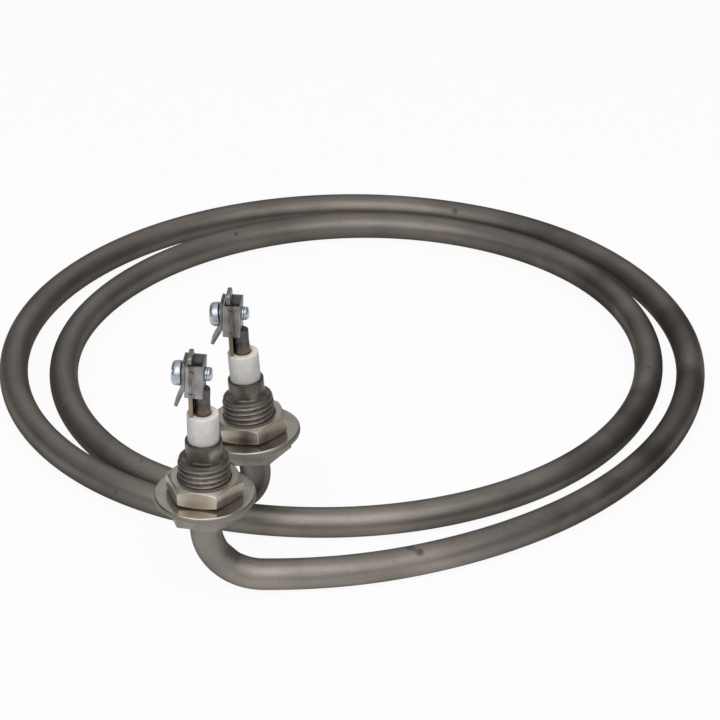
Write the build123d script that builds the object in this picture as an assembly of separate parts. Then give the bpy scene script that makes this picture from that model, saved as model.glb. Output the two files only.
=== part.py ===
from build123d import *
from math import cos, radians, sin, sqrt, tan
import os

# Tubular heating element: one metal-sheathed tube wound into a flat coil of almost two turns,
# with both ends bent up into screw-in fittings and screw terminals.
# Millimetres, +Z up. The coil lies in a level plane and the finished part is moved so that its
# origin is the middle of its footprint, on the tube's underside. +Y points away from the terminals.

# Sheath tube
tube_diameter = 8.5
tube_wall = 0.7
bend_radius_front = 14.8
bend_radius_rear = 10.0

# Coil, seen from above: the tube runs counter-clockwise round the coil's centre
outer_turn_radius = 102.0
turn_gap = 5.5
# How far the hand-wound centreline strays from its circle at each eighth of a turn
outer_turn_stray = [9.9, -0.3, -0.6, -0.2, -0.9, 0.4, 0.5, -4.9]
inner_turn_stray = [0.8, -1.2, 1.2, 2.5, 0.0, -2.1, -0.8, -0.8]
first_station_angle = -90.0
bend_pairs = 14

# Places of the two terminals, both near one ray from the coil's centre
front_terminal_angle = -108.9
rear_terminal_angle = -109.0
front_terminal_lead = 18.5
rear_terminal_inset = -4.8
front_entry_heading = -1.1
rear_exit_heading = 343.0
front_lean = 0.2
rear_lean = 4.4

# Fitting: a hexagon-flanged screw bush brazed on each end of the tube
seat_height_front = 24.2
seat_height_rear = 21.0
flange_across_flats = 18.6
flange_thickness = 4.4
flange_chamfer = 0.3
thread_diameter = 14.0
thread_length = 11.4
collar_diameter = 13.4
collar_length = 1.7
collar_chamfer = 0.9
neck_diameter = 9.8
neck_length = 5.1
crimp_across_flats = 9.2
crimp_height = 3.0
front_flange_turn = -12.0
rear_flange_turn = -4.0

# Washer and nut
washer_diameter = 27.0
washer_thickness = 1.9
washer_edge = 0.45
washer_bore_clearance = 0.3
nut_across_flats = 18.3
nut_height = 5.1
front_nut_turn = -10.7
rear_nut_turn = -16.5
nut_chamfer_angle = 30.0
nut_chamfer_diameter = 17.6
thread_clearance = 0.05

# Ceramic bush, pin and filling
bush_diameter = 8.4
bush_reach = 8.0
bush_edge = 0.3
bush_seat_depth = 4.0
pin_diameter = 4.2
pin_reach_front = 15.6
pin_reach_rear = 15.1
pin_top_round = 1.2
pin_clearance = 0.1
cold_end_depth = 16.0
seal_thickness = 1.5
slip_clearance = 0.05

# Tab, cage, clamp plate and screw on each pin
tab_thickness = 1.1
tab_width = 5.8
tab_above_screw_front = 6.1
tab_above_screw_rear = 6.8
tab_gap = 0.05
tab_corner = 1.2
cage_depth = 7.4
cage_width = 5.0
cage_height = 9.3
cage_wall = 0.6
cage_below_screw = 5.5
clamp_turn = -4.5
cage_corner = 0.9
cage_slit_gap = 0.1
cage_slack = 0.25
plate_thickness = 0.85
plate_depth = 6.6
plate_gap = 0.05
plate_drop = 0.9
lip_angle_front = 20.0
lip_angle_rear = 27.5
lip_length = 5.95
lip_below_head = 0.35
lip_corner = 1.6
screw_diameter = 3.3
screw_stub = 1.8
screw_head_diameter = 6.7
screw_head_height = 2.7
screw_head_round = 0.5
screw_slot_width = 0.9
screw_slot_depth = 1.1
screw_hole_clearance = 0.2
screw_height = 19.7

# How far a cutting tool runs past the faces it cuts
overrun = 1.0

tube_radius = tube_diameter / 2
turn_pitch = tube_diameter + turn_gap
inner_turn_radius = outer_turn_radius - turn_pitch

# Heights above the washer's seat
neck_bottom = thread_length + collar_length
neck_top = neck_bottom + neck_length
tube_end = neck_top - bush_seat_depth
bush_top = neck_top + bush_reach
cold_end_bottom = tube_end - cold_end_depth
screw_axis = neck_top + screw_height
cage_foot = screw_axis - cage_below_screw
cage_top = cage_foot + cage_height

# The stack of pieces to the left of the pin, by the x of their faces
tab_right = -pin_diameter / 2 - tab_gap
tab_left = tab_right - tab_thickness
cage_left = tab_left - cage_slack - cage_wall
plate_right = cage_left - plate_gap
plate_left = plate_right - plate_thickness
head_right = plate_left - plate_gap


def polar(reach, angle):
    """A point of the coil's plane, by its reach and angle from the coil's centre."""
    return Vector(reach * cos(radians(angle)), reach * sin(radians(angle)), tube_radius)


def level(heading):
    """The level unit vector with this compass heading."""
    return Vector(cos(radians(heading)), sin(radians(heading)), 0)


up = Vector(0, 0, 1)
front_foot = polar(outer_turn_radius + front_terminal_lead, front_terminal_angle)
rear_foot = polar(inner_turn_radius + rear_terminal_inset, rear_terminal_angle)

# Directions from each terminal's foot towards the coil
front_inward = level(front_entry_heading)
rear_inward = level(rear_exit_heading) * -1


def on_bend(foot, inward, radius, angle):
    """The point that an end's bend reaches after turning up through this angle."""
    along = radius * (1 - sin(radians(angle)))
    rise = radius * (1 - cos(radians(angle)))
    return foot + inward * along + up * rise


def riser_direction(inward, lean):
    """The direction of an end's straight riser, which leans back over the coil."""
    return inward * sin(radians(lean)) + up * cos(radians(lean))


def seat_plane(foot, inward, radius, lean, height):
    """The plane of the washer's seat on an end's flange, level with +X but for the lean."""
    direction = riser_direction(inward, lean)
    top_of_bend = on_bend(foot, inward, radius, 90 + lean)
    x_direction = Vector(0, 1, 0).cross(direction)
    origin = top_of_bend + direction * (height - radius)
    return Plane(origin=origin, x_dir=x_direction, z_dir=direction)


front_seat = seat_plane(
    front_foot, front_inward, bend_radius_front, front_lean, seat_height_front
)
rear_seat = seat_plane(rear_foot, rear_inward, bend_radius_rear, rear_lean, seat_height_rear)


def coil_stations():
    """The points that the coil's centreline passes through, an eighth of a turn apart."""
    strays = outer_turn_stray + inner_turn_stray
    eighths = len(outer_turn_stray)
    points = []
    for index, stray in enumerate(strays):
        radius = outer_turn_radius if index < eighths else inner_turn_radius
        angle = first_station_angle + index * 360 / eighths
        points.append(polar(radius + stray, angle))
    return points


def bend_pair(start, start_heading, end, end_heading):
    """Two level arcs, tangent to each other, from one point and direction to the next."""
    chord = end - start
    reach = chord.dot(start_heading + end_heading)
    spread = 2 * (1 - start_heading.dot(end_heading))
    leg = (sqrt(reach**2 + spread * chord.dot(chord)) - reach) / spread
    first_corner = start + start_heading * leg
    second_corner = end - end_heading * leg
    meeting = (first_corner + second_corner) * 0.5
    return [
        TangentArc(start, meeting, tangent=start_heading),
        TangentArc(meeting, end, tangent=second_corner - first_corner),
    ]


def coil_edges(start, end):
    """The coil's centreline: a smooth guide through the stations, followed by tangent bends."""
    guide = Spline(start, *coil_stations(), end)
    steps = [index / bend_pairs for index in range(bend_pairs + 1)]
    points = [guide @ step for step in steps]
    inner_headings = [guide % step for step in steps[1:-1]]
    headings = [level(front_entry_heading), *inner_headings, level(rear_exit_heading)]
    edges = []
    for index in range(bend_pairs):
        after = index + 1
        edges += bend_pair(points[index], headings[index], points[after], headings[after])
    return edges


def end_edges(foot, inward, radius, lean, seat):
    """One end's riser and bend, from the tube's end to the coil's plane."""
    end = seat.origin + seat.z_dir * tube_end
    angle = 90 + lean
    top = on_bend(foot, inward, radius, angle)
    middle = on_bend(foot, inward, radius, angle / 2)
    bottom = on_bend(foot, inward, radius, 0)
    return [Line(end, top), ThreePointArc(top, middle, bottom)]


def sheath_path():
    """The tube's centreline, from the front end to the rear end."""
    front = end_edges(front_foot, front_inward, bend_radius_front, front_lean, front_seat)
    rear = end_edges(rear_foot, rear_inward, bend_radius_rear, rear_lean, rear_seat)
    coil = coil_edges(front[-1] @ 1, rear[-1] @ 1)
    return Wire(front + coil + rear)


def disc(radius, bottom, height):
    """A plain upright cylinder, from its bottom's height."""
    return Pos(0, 0, bottom + height / 2) * Cylinder(radius, height)


def bore(radius, bottom, height):
    """An upright cutting cylinder that runs past both faces of what it goes through."""
    return disc(radius, bottom - overrun, height + 2 * overrun)


def hexagon(across_flats, bottom, height, turn):
    """An upright hexagonal prism, turned about its axis."""
    profile = RegularPolygon(across_flats / 2, 6, major_radius=False, rotation=turn)
    return Pos(0, 0, bottom) * extrude(profile, height)


def hexagon_corner(across_flats):
    """Reach of a hexagon's corners from its middle."""
    return across_flats / 2 / cos(radians(30))


def screw_bore(clearance):
    """A level cutting cylinder round the clamp screw's axis, through all that it crosses."""
    length = 2 * (cage_depth + cage_width)
    cutter = Rot(0, 90, 0) * Cylinder(screw_diameter / 2 + clearance, length)
    return Pos(0, 0, screw_axis) * cutter


def make_sheath(cold_end_cuts):
    """The tube. It is left solid between its two cold ends, whose filling is not modelled."""
    path = sheath_path()
    start = Plane(origin=path @ 0, z_dir=path % 0)
    tube = sweep(start * Circle(tube_radius), path=path)
    return tube - cold_end_cuts


def make_cold_end_cut():
    """What the pin, its filling and its seal leave open in the end of the tube."""
    return disc(tube_radius - tube_wall, cold_end_bottom, cold_end_depth + overrun)


def make_fitting(turn):
    flange = hexagon(flange_across_flats, -flange_thickness, flange_thickness, turn)
    turned = disc(hexagon_corner(flange_across_flats), -flange_thickness, flange_thickness)
    turned = chamfer(turned.edges().sort_by(Axis.Z)[0], flange_chamfer)
    thread = disc(thread_diameter / 2, 0, thread_length)
    collar = disc(collar_diameter / 2, thread_length, collar_length)
    collar = chamfer(collar.edges().sort_by(Axis.Z)[-1], collar_chamfer)
    neck = disc(neck_diameter / 2, neck_bottom, neck_length)
    crimp = hexagon(crimp_across_flats, neck_bottom, crimp_height, turn)
    above_crimp = disc(neck_diameter / 2, neck_bottom + crimp_height, neck_length)
    neck = neck & (crimp + above_crimp)
    body = (flange & turned) + thread + collar + neck
    tube_bore = bore(tube_radius + slip_clearance, -flange_thickness, neck_top + flange_thickness)
    return body - tube_bore


def make_washer():
    ring = disc(washer_diameter / 2, 0, washer_thickness)
    ring = chamfer(ring.edges(), washer_edge)
    return ring - bore(thread_diameter / 2 + washer_bore_clearance, 0, washer_thickness)


def make_nut(turn):
    bottom = washer_thickness
    top = bottom + nut_height
    block = hexagon(nut_across_flats, bottom, nut_height, turn)
    flat_radius = nut_chamfer_diameter / 2
    reach = hexagon_corner(nut_across_flats) + overrun
    drop = (reach - flat_radius) * tan(radians(nut_chamfer_angle))
    profile = Polyline(
        (0, bottom),
        (flat_radius, bottom),
        (reach, bottom + drop),
        (reach, top - drop),
        (flat_radius, top),
        (0, top),
        close=True,
    )
    turned = revolve(Plane.XZ * make_face(profile), Axis.Z)
    return (block & turned) - bore(thread_diameter / 2 + thread_clearance, bottom, nut_height)


def make_bush():
    height = bush_top - tube_end
    body = disc(bush_diameter / 2, tube_end, height)
    body = chamfer(body.edges().sort_by(Axis.Z)[-1], bush_edge)
    return body - bore(pin_diameter / 2 + pin_clearance, tube_end, height)


def make_filler(bottom, height):
    """A ring of filling or seal round the pin, inside the end of the tube."""
    body = disc(tube_radius - tube_wall - slip_clearance, bottom, height)
    return body - bore(pin_diameter / 2 + slip_clearance, bottom, height)


def make_pin(reach):
    height = neck_top + reach - cold_end_bottom
    body = disc(pin_diameter / 2, cold_end_bottom, height)
    return fillet(body.edges().sort_by(Axis.Z)[-1], pin_top_round)


def make_tab(above_screw):
    bottom = bush_top + slip_clearance
    height = screw_axis + above_screw - bottom
    middle = Pos((tab_left + tab_right) / 2, 0, bottom + height / 2)
    body = middle * Box(tab_thickness, tab_width, height)
    corners = body.edges().filter_by(Axis.X).group_by(Axis.Z)[-1]
    body = fillet(corners, tab_corner)
    return Rot(0, 0, clamp_turn) * (body - screw_bore(2 * screw_hole_clearance))


def make_cage(reach):
    """The folded cage, with a slit for the tab's edge and a notch for the pin's top."""
    middle = Pos(cage_left + cage_width / 2, 0, cage_foot)
    outer = RectangleRounded(cage_width, cage_depth, cage_corner)
    inner_width = cage_width - 2 * cage_wall
    inner_depth = cage_depth - 2 * cage_wall
    inner = RectangleRounded(inner_width, inner_depth, cage_corner - cage_wall)
    body = middle * extrude(outer - inner, cage_height)
    slit = Box(
        tab_thickness + 2 * cage_slit_gap,
        2 * cage_wall + 2 * cage_slit_gap,
        cage_height + 2 * overrun,
    )
    slit = Pos((tab_left + tab_right) / 2, -cage_depth / 2, cage_foot + cage_height / 2) * slit
    notch_radius = pin_diameter / 2 + cage_slack
    notch = bore(notch_radius, cage_foot, neck_top + reach + cage_slack - cage_foot - overrun)
    body = body - slit - notch - screw_bore(thread_clearance)
    return Rot(0, 0, clamp_turn) * body


def make_plate(lip_angle):
    """The clamp plate, with its lower lip bent out and rounded at the tip."""
    knee = screw_axis - screw_head_diameter / 2 - lip_below_head
    top = cage_top - plate_drop
    lip_drop = lip_length * cos(radians(lip_angle))
    lip_out = lip_length * sin(radians(lip_angle))
    tip_out = plate_thickness * cos(radians(lip_angle))
    tip_rise = plate_thickness * sin(radians(lip_angle))
    knee_rise = plate_thickness * tan(radians(lip_angle / 2))
    profile = Polyline(
        (plate_right, top),
        (plate_right, knee),
        (plate_right - lip_out, knee - lip_drop),
        (plate_right - lip_out - tip_out, knee - lip_drop + tip_rise),
        (plate_left, knee + knee_rise),
        (plate_left, top),
        close=True,
    )
    body = extrude(Plane.XZ * make_face(profile), plate_depth / 2, both=True)
    longest = 2 * plate_thickness
    short_edges = body.edges().filter_by(lambda edge: edge.length < longest)
    body = fillet(short_edges.group_by(Axis.Z)[0], lip_corner)
    return Rot(0, 0, clamp_turn) * (body - screw_bore(screw_hole_clearance))


def make_screw():
    length = cage_left + cage_width + screw_stub - head_right
    shank = Rot(0, 90, 0) * Cylinder(screw_diameter / 2, length)
    shank = Pos(head_right + length / 2, 0, 0) * shank
    head = Rot(0, 90, 0) * Cylinder(screw_head_diameter / 2, screw_head_height)
    head = fillet(head.edges().sort_by(Axis.X)[0], screw_head_round)
    head = Pos(head_right - screw_head_height / 2, 0, 0) * head
    slot = Box(screw_slot_depth, screw_head_diameter + overrun, screw_slot_width)
    slot = Pos(head_right - screw_head_height + screw_slot_depth / 2, 0, 0) * slot
    return Rot(0, 0, clamp_turn) * Pos(0, 0, screw_axis) * ((head - slot) + shank)


def terminal_pieces(flange_turn, nut_turn, pin_reach, tab_above_screw, lip_angle):
    """Every piece of one terminal, upright on a seat at the origin."""
    return {
        "fitting": make_fitting(flange_turn),
        "washer": make_washer(),
        "nut": make_nut(nut_turn),
        "ceramic_bush": make_bush(),
        "end_seal": make_filler(tube_end - seal_thickness, seal_thickness),
        "magnesia_plug": make_filler(cold_end_bottom, cold_end_depth - seal_thickness),
        "terminal_pin": make_pin(pin_reach),
        "tab": make_tab(tab_above_screw),
        "cage": make_cage(pin_reach),
        "clamp_plate": make_plate(lip_angle),
        "clamp_screw": make_screw(),
    }


cold_end_cut = make_cold_end_cut()
cuts = Location(front_seat) * cold_end_cut + Location(rear_seat) * cold_end_cut
front_pieces = terminal_pieces(
    front_flange_turn, front_nut_turn, pin_reach_front, tab_above_screw_front, lip_angle_front
)
rear_pieces = terminal_pieces(
    rear_flange_turn, rear_nut_turn, pin_reach_rear, tab_above_screw_rear, lip_angle_rear
)
parts = {"sheath_tube": make_sheath(cuts)}
for name, solid in front_pieces.items():
    parts["front_" + name] = Location(front_seat) * solid
for name, solid in rear_pieces.items():
    parts["rear_" + name] = Location(rear_seat) * solid

# Origin: the middle of the whole part's footprint, on its underside
box = Compound(children=[Compound(solid.wrapped) for solid in parts.values()]).bounding_box()
to_origin = Pos(-box.center().X, -box.center().Y, -box.min.Z)

os.makedirs("parts", exist_ok=True)
for name, solid in parts.items():
    export_step(to_origin * solid, "parts/" + name + ".step")
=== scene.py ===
from math import acos, cos, exp, pi, radians, sin, sqrt, tan

import bmesh
import bpy
import numpy as np
from mathutils import Matrix, Vector
from numpy.linalg import norm


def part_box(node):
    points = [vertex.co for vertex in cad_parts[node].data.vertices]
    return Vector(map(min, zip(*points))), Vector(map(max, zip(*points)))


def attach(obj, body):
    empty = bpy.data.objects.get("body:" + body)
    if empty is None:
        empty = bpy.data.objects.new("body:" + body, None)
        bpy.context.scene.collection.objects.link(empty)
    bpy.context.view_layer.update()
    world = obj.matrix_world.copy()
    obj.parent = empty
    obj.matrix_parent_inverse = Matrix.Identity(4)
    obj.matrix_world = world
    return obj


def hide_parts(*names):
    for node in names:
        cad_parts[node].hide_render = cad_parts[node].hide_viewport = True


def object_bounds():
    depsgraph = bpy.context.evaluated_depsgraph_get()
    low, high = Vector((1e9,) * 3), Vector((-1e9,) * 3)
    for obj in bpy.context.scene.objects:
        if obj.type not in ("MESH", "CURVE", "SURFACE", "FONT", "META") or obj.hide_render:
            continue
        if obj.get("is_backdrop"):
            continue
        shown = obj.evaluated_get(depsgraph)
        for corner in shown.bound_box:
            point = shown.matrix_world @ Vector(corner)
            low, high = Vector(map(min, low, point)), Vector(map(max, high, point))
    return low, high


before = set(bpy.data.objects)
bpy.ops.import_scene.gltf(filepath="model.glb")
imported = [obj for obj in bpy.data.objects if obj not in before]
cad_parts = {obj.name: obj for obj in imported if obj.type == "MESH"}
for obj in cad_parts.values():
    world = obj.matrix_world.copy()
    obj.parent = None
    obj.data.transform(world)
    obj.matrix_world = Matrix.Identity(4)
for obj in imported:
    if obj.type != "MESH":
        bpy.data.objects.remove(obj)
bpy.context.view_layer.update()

# The route of the tube and the terminals' sizes, as in the CAD source. They are in millimetres
# and degrees, and meshes are made in metres.
MM = 0.001
tube_radius = 4.25
bend_radius = {"front": 14.8, "rear": 10.0}
outer_turn_radius = 102.0
inner_turn_radius = 88.0
outer_turn_stray = [9.9, -0.3, -0.6, -0.2, -0.9, 0.4, 0.5, -4.9]
inner_turn_stray = [0.8, -1.2, 1.2, 2.5, 0.0, -2.1, -0.8, -0.8]
first_station_angle = -90.0
bend_pairs = 14
front_terminal_angle = -108.9
rear_terminal_angle = -109.0
front_terminal_lead = 18.5
rear_terminal_inset = -4.8
front_entry_heading = -1.1
rear_exit_heading = 343.0
seat_lean = {"front": 0.2, "rear": 4.4}
seat_height = {"front": 24.2, "rear": 21.0}
flange_across_flats = 18.6
flange_thickness = 4.4
flange_turn = {"front": -12.0, "rear": -4.0}
thread_diameter = 14.0
thread_pitch = 1.5
thread_length = 11.4
collar_diameter = 13.4
collar_length = 1.7
neck_diameter = 9.8
neck_length = 5.1
crimp_across_flats = 9.2
crimp_height = 3.0
washer_diameter = 27.0
washer_thickness = 1.9
washer_edge = 0.45
nut_across_flats = 18.3
nut_height = 5.1
nut_turn = {"front": -10.7, "rear": -16.5}
nut_chamfer_angle = 30.0
nut_chamfer_diameter = 17.6
bush_diameter = 8.4
bush_reach = 8.0
bush_seat_depth = 4.0
pin_diameter = 4.2
clamp_turn = -4.5
screw_height = 19.7
head_right = -5.05
screw_end = 2.7
screw_head_diameter = 6.7
screw_head_height = 2.7

neck_bottom = thread_length + collar_length
neck_top = neck_bottom + neck_length
tube_end = neck_top - bush_seat_depth
bush_top = neck_top + bush_reach
screw_axis = neck_top + screw_height

# Forms of the scene alone, and sizes that follow the photograph nearer than the CAD source
route_step = 0.9
bulge_height = 0.16
bulge_length = 1.9
dent_share = 0.6
dent_offset = 1.6
tube_columns = 56
tube_clearance = 0.06
flange_edge = 0.22
flange_corner = 0.35
thread_inset = 1.1
thread_depth = 0.7
thread_root_share = 0.12
thread_flank_share = 0.76
thread_softness = 0.35
thread_fade = 0.9
thread_over_collar = 1.1
thread_row_step = 0.075
stem_columns = 144
neck_fillet = 0.6
neck_edge = 0.3
crimp_corner = 2.6
mouth_gap = 0.04
mouth_chamfer = 0.12
mouth_depth = 3.6
nut_corner = 0.3
nut_thread_bite = 0.05
nut_thread_chamfer = 0.6
pin_edge = 0.55
screw_diameter = 3.7
screw_edge = 0.09
screw_pitch = 0.6
screw_thread_depth = 0.07
screw_slot_width = 0.9
screw_slot_depth = 1.1
screw_slot_turn = {"front": -43.0, "rear": 48.0}
cage_left = -3.95
cage_width = 4.85
cage_depth = 7.4
cage_height = 9.3
cage_wall = 0.45
cage_corner = 0.4
cage_edge = 0.07
cage_below_screw = 5.5
cage_lean = {"front": 2.8, "rear": 5.5}
rear_seam_shift = 0.7
cage_notch_height = {"front": 1.8, "rear": 1.3}
cage_notch_width = 4.7
cage_slot_depth = 0.3
# Slots of the cage: from its left edge, below its top, tilt, width and height
cage_slots = [(1.75, 1.5, 18.0, 1.3, 0.42), (1.6, 8.1, 0.0, 1.15, 0.36)]
plate_edge = 0.24
plate_raise = 1.2
plate_raised_above_screw = 2.2
plate_shift = 0.2
tab_edge = 0.22
tab_lean = {"front": 0.0, "rear": 2.2}


# Route of the tube
def polar(reach, angle):
    a = radians(angle)
    return np.array([reach * cos(a), reach * sin(a), tube_radius])


def level(heading):
    a = radians(heading)
    return np.array([cos(a), sin(a), 0.0])


UP = np.array([0.0, 0.0, 1.0])
FOOT = {
    "front": polar(outer_turn_radius + front_terminal_lead, front_terminal_angle),
    "rear": polar(inner_turn_radius + rear_terminal_inset, rear_terminal_angle),
}
INWARD = {"front": level(front_entry_heading), "rear": -level(rear_exit_heading)}


def on_bend(which, angle):
    """A point of an end's bend, which is level at 0 and upright at 90 degrees."""
    a = radians(angle)
    radius = bend_radius[which]
    along = INWARD[which] * radius * (1 - sin(a))
    return FOOT[which] + along + UP * radius * (1 - cos(a))


def seat_frame(which):
    """Origin and axes of a terminal's seat, in millimetres."""
    a = radians(seat_lean[which])
    z = INWARD[which] * sin(a) + UP * cos(a)
    above_bend = seat_height[which] - bend_radius[which]
    origin = on_bend(which, 90 + seat_lean[which]) + z * above_bend
    x = np.cross(np.array([0.0, 1.0, 0.0]), z)
    x /= norm(x)
    return origin, x, np.cross(z, x), z


SEAT_FRAMES = {"front": seat_frame("front"), "rear": seat_frame("rear")}


def lengths_along(points):
    """How far along the line each of its points is."""
    return np.concatenate([[0], np.cumsum(norm(np.diff(points, axis=0), axis=1))])


def end_slope(ts, ps, at):
    """Slope at a place of the cubic through four points."""
    return np.linalg.solve(np.vander(ts - at, 4), ps)[2]


def guide_curve(points, count, samples=200):
    """Points and directions along a smooth cubic through the stations, even in length."""
    points = np.array(points)
    t = lengths_along(points)
    n = len(points)
    h = np.diff(t)
    system = np.zeros((n, n))
    right = np.zeros((n, 3))
    system[0, 0] = system[-1, -1] = 1
    right[0] = end_slope(t[:4], points[:4], t[0])
    right[-1] = end_slope(t[-4:], points[-4:], t[-1])
    for i in range(1, n - 1):
        system[i, i - 1] = h[i]
        system[i, i] = 2 * (h[i - 1] + h[i])
        system[i, i + 1] = h[i - 1]
        before = (points[i] - points[i - 1]) / h[i - 1]
        after = (points[i + 1] - points[i]) / h[i]
        right[i] = 3 * (h[i] * before + h[i - 1] * after)
    slopes = np.linalg.solve(system, right)

    fine_points = []
    fine_slopes = []
    for i in range(n - 1):
        u = np.linspace(0, 1, samples, endpoint=i == n - 2)[:, None]
        p0, p1 = points[i], points[i + 1]
        m0, m1 = slopes[i] * h[i], slopes[i + 1] * h[i]
        a = 2 * u**3 - 3 * u**2 + 1
        b = u**3 - 2 * u**2 + u
        c = u**3 - u**2
        fine_points.append(a * p0 + (1 - a) * p1 + b * m0 + c * m1)
        slope = (6 * u**2 - 6 * u) * (p0 - p1) + (3 * u**2 - 4 * u + 1) * m0
        fine_slopes.append(slope + (3 * u**2 - 2 * u) * m1)
    fine = np.concatenate(fine_points)
    slope = np.concatenate(fine_slopes)
    reach = lengths_along(fine)
    wanted = np.linspace(0, reach[-1], count)
    place = np.stack([np.interp(wanted, reach, fine[:, k]) for k in range(3)], 1)
    way = np.stack([np.interp(wanted, reach, slope[:, k]) for k in range(3)], 1)
    return place, way / norm(way, axis=1)[:, None]


def arc_points(start, heading, end):
    """Points of the arc that leaves start along heading and reaches end, without its end."""
    chord = end - start
    length = norm(chord)
    direction = chord / length
    half = acos(max(-1, min(1, float(direction @ heading))))
    if half < 1e-6:
        count = max(1, int(length / route_step))
        return [start + chord * i / count for i in range(count)], direction
    side = direction - heading * (direction @ heading)
    side /= norm(side)
    radius = length / 2 / sin(half)
    count = max(2, int(2 * half * radius / route_step))
    out = []
    for i in range(count):
        a = 2 * half * i / count
        out.append(start + heading * radius * sin(a) + side * radius * (1 - cos(a)))
    return out, heading * cos(2 * half) + side * sin(2 * half)


def end_route(which, stub_steps=24, bend_steps=40):
    """The centreline from a terminal's end of the tube down its stub and round its bend."""
    upright = 90 + seat_lean[which]
    top = on_bend(which, upright)
    end = SEAT_FRAMES[which][0] + SEAT_FRAMES[which][3] * tube_end
    stub = [end + (top - end) * i / stub_steps for i in range(stub_steps)]
    return stub + [on_bend(which, upright * (1 - i / bend_steps)) for i in range(bend_steps + 1)]


def tube_route():
    """The centreline, from the front end of the tube to its rear end, in millimetres."""
    stations = []
    for i, stray in enumerate(outer_turn_stray + inner_turn_stray):
        radius = outer_turn_radius if i < len(outer_turn_stray) else inner_turn_radius
        stations.append(polar(radius + stray, first_station_angle + i * 360 / 8))
    points = [on_bend("front", 0), *stations, on_bend("rear", 0)]
    place, way = guide_curve(points, bend_pairs + 1)
    way[0] = level(front_entry_heading)
    way[-1] = level(rear_exit_heading)
    route = end_route("front")[:-1]
    for i in range(bend_pairs):
        p, q, a, b = place[i], place[i + 1], way[i], way[i + 1]
        chord = q - p
        reach = chord @ (a + b)
        spread = 2 * (1 - a @ b)
        leg = (sqrt(reach**2 + spread * (chord @ chord)) - reach) / spread
        middle = (p + a * leg + q - b * leg) / 2
        first, last = arc_points(p, a, middle)
        route += first + arc_points(middle, last, q)[0]
    return np.array(route + end_route("rear")[::-1])


# From the working frame to the row's frame: the washer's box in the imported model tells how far
low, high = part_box("front_washer")
washer_middle = np.array((low + high) / 2) / MM
shift = washer_middle - (SEAT_FRAMES["front"][0] + SEAT_FRAMES["front"][3] * washer_thickness / 2)
shift[2] = 0.0


def seat_matrix(which):
    """Places what is made in metres round a seat's origin."""
    origin, *axes = SEAT_FRAMES[which]
    turn = Matrix(np.transpose(axes).tolist()).to_4x4()
    return Matrix.Translation((origin + shift) * MM) @ turn


SEATS = {"front": seat_matrix("front"), "rear": seat_matrix("rear")}


# Mesh helpers
def link(name, data):
    obj = bpy.data.objects.new(name, data)
    bpy.context.scene.collection.objects.link(obj)
    return obj


def shade(mesh, sharp_angle):
    mesh.polygons.foreach_set("use_smooth", [True] * len(mesh.polygons))
    mesh.set_sharp_from_angle(angle=radians(sharp_angle))


def new_object(name, vertices, faces, sharp_angle):
    """A piece from points in metres."""
    mesh = bpy.data.meshes.new(name)
    mesh.from_pydata([tuple(v) for v in vertices], [], [tuple(f) for f in faces])
    mesh.validate()
    shade(mesh, sharp_angle)
    return link(name, mesh)


def grid_faces(rows, columns, capped=False):
    """Quads between the rows of a grid whose columns go round, with or without its two ends."""
    faces = []
    for r in range(rows - 1):
        for c in range(columns):
            here, beside = r * columns + c, r * columns + (c + 1) % columns
            faces.append((here, beside, beside + columns, here + columns))
    if capped:
        faces.append(tuple(range(columns))[::-1])
        faces.append(tuple(range((rows - 1) * columns, rows * columns)))
    return faces


def turned(name, rows, angles, matrix, sharp_angle, capped=False):
    """A piece round a seat's axis, from rows with an (r, z) for each of the angles."""
    vertices = [
        matrix @ (Vector((r * cos(a), r * sin(a), z)) * MM)
        for row in rows for a, (r, z) in zip(angles, row)
    ]
    return new_object(name, vertices, grid_faces(len(rows), len(angles), capped), sharp_angle)


def all_round(columns):
    return np.linspace(0, 2 * pi, columns, endpoint=False)


def lathe(name, profile, matrix, columns, sharp_angle, wobble=lambda a, r, z: 0.0):
    """A turned piece from one profile of (r, z) points."""
    around = all_round(columns)
    rows = [[(r + wobble(a, r, z), z) for a in around] for r, z in profile]
    return turned(name, rows, around, matrix, sharp_angle)


def add_values(obj, name, values):
    """A number or a vector for each point, which the materials read."""
    values = np.asarray(values, np.float32)
    kind, field = ("FLOAT_VECTOR", "vector") if values.ndim > 1 else ("FLOAT", "value")
    layer = obj.data.attributes.new(name, kind, "POINT")
    layer.data.foreach_set(field, values.ravel())


def rounded(profile, steps):
    """A profile of (r, z) points with each corner that has a third value rounded by an arc."""
    points = []
    for i, corner in enumerate(profile):
        p = np.array(corner[:2], float)
        if len(corner) < 3:
            points.append(p)
            continue
        a = np.array(profile[i - 1][:2], float) - p
        b = np.array(profile[i + 1][:2], float) - p
        la, lb = norm(a), norm(b)
        a, b = a / la, b / lb
        angle = acos(max(-1, min(1, float(a @ b))))
        cut = min(corner[2] / tan(angle / 2), la * 0.49, lb * 0.49)
        for k in range(steps + 1):
            u = k / steps
            outer = (1 - u) ** 2 * (p + a * cut) + u**2 * (p + b * cut)
            points.append(outer + 2 * u * (1 - u) * p)
    return np.array(points)


def quarter(steps):
    """Angles of a quarter turn, ends included."""
    return [radians(90 * k / steps) for k in range(steps + 1)]


def hexagon_radius(angle, across_flats, turn, corner):
    """Reach of a hexagon with rounded corners, in the direction of this angle in degrees."""
    apothem = across_flats / 2
    flat = radians((angle - turn) % 60 - 30)
    reach = apothem / cos(flat)
    side = apothem * abs(tan(flat))
    limit = (apothem - corner) * tan(radians(30))
    if side > limit:
        from_corner = radians(30) - abs(flat)
        d = (apothem - corner) / cos(radians(30))
        inside = corner**2 - (d * sin(from_corner)) ** 2
        reach = d * cos(from_corner) + sqrt(max(inside, 0))
    return reach


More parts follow.
